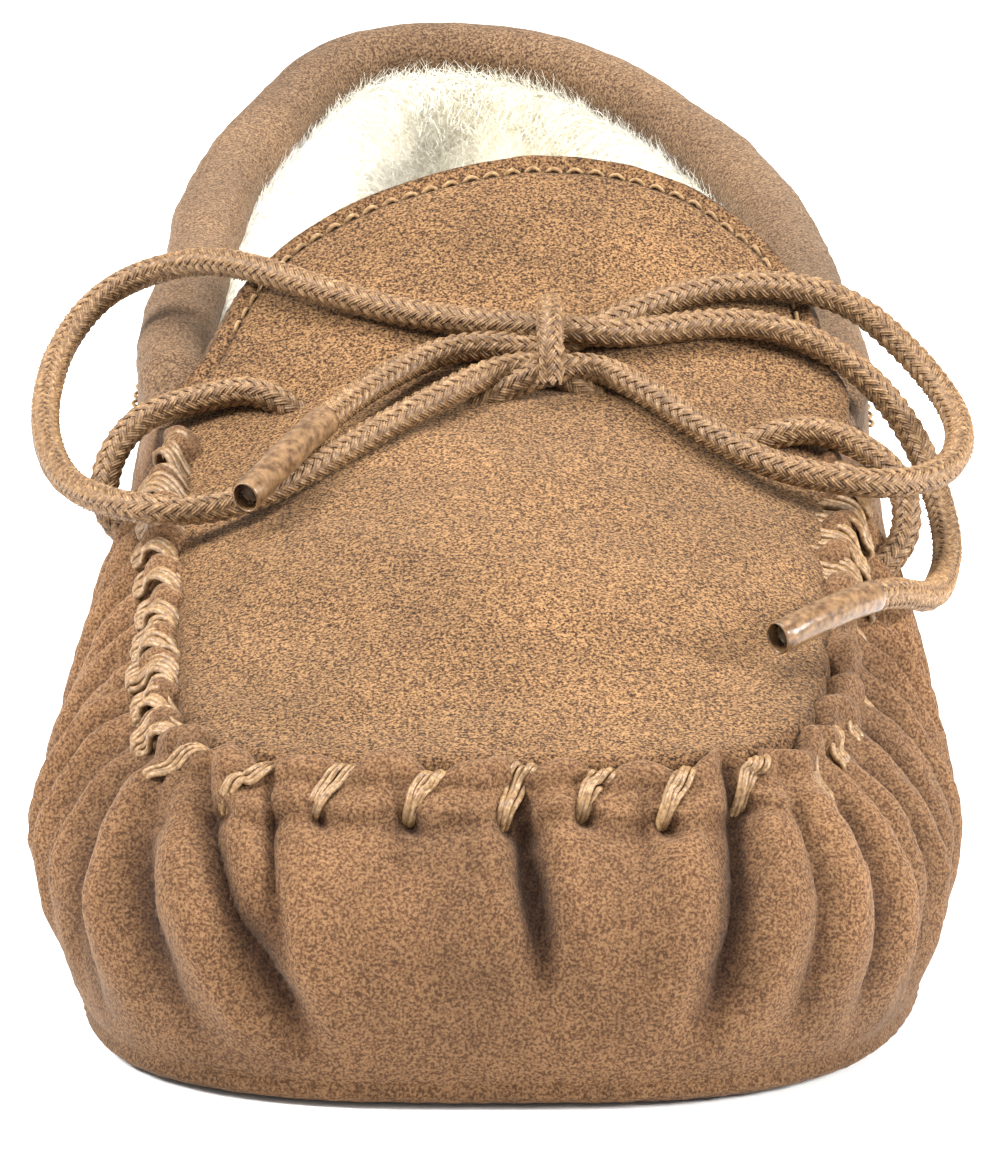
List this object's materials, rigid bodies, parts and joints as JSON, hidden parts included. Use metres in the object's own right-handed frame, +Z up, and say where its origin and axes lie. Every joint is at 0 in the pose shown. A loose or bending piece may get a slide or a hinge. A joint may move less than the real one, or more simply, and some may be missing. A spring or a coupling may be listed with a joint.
{
  "type": "moccasin slipper",
  "caption": "Soft left-foot moccasin slipper in tan suede, gathered toe with whip-stitched apron, raised tongue, braided lace bow and fleece lining.",
  "frame": {"origin": "on the floor, on the sole's resting face under the instep, midway between the sides of the forefoot", "axes": "+Z up, +Y towards the heel along the shoe's length, toe at -Y, +X towards the outer side of the foot"},
  "size_m": [0.1214, 0.2808, 0.0795],
  "materials": {
    "suede_wall": "matte brushed suede",
    "suede_apron": "matte brushed suede",
    "sole_suede": "matte split suede",
    "fleece": "matte pile",
    "foam": "open cell foam",
    "lace": "braided cord",
    "thread": "waxed thread",
    "fine_thread": "sewing thread",
    "aglet": "clear shrunk sleeve"
  },
  "bodies": {
    "shoe": {"vamp": "suede_wall", "fleece_lining": "fleece", "outsole_patch": "sole_suede", "insole_foam": "foam", "fleece_insole": "fleece", "apron": "suede_apron", "apron_lining": "fleece", "collar_roll": "suede_wall", "collar_core": "foam", "seam_stitches": "thread", "collar_stitches": "fine_thread", "heel_backstay": "suede_wall", "backstay_stitches": "fine_thread", "lace_left": "lace", "lace_right": "lace", "lace_knot_wrap": "lace", "aglet_left": "aglet", "aglet_right": "aglet"},
    "tongue": {"tongue": "suede_apron", "tongue_lining": "fleece", "tongue_stitches": "fine_thread"}
  },
  "joints": [
    {"name": "tongue_hinge", "type": "hinge", "parent": "shoe", "child": "tongue", "pos_m": [0, -0.004, 0.0662], "axis": [1, 0, 0], "range_deg": [0, 20], "stiffness_Nm_per_rad": 0.02, "deforming": ["lace_left", "lace_right"]}
  ]
}
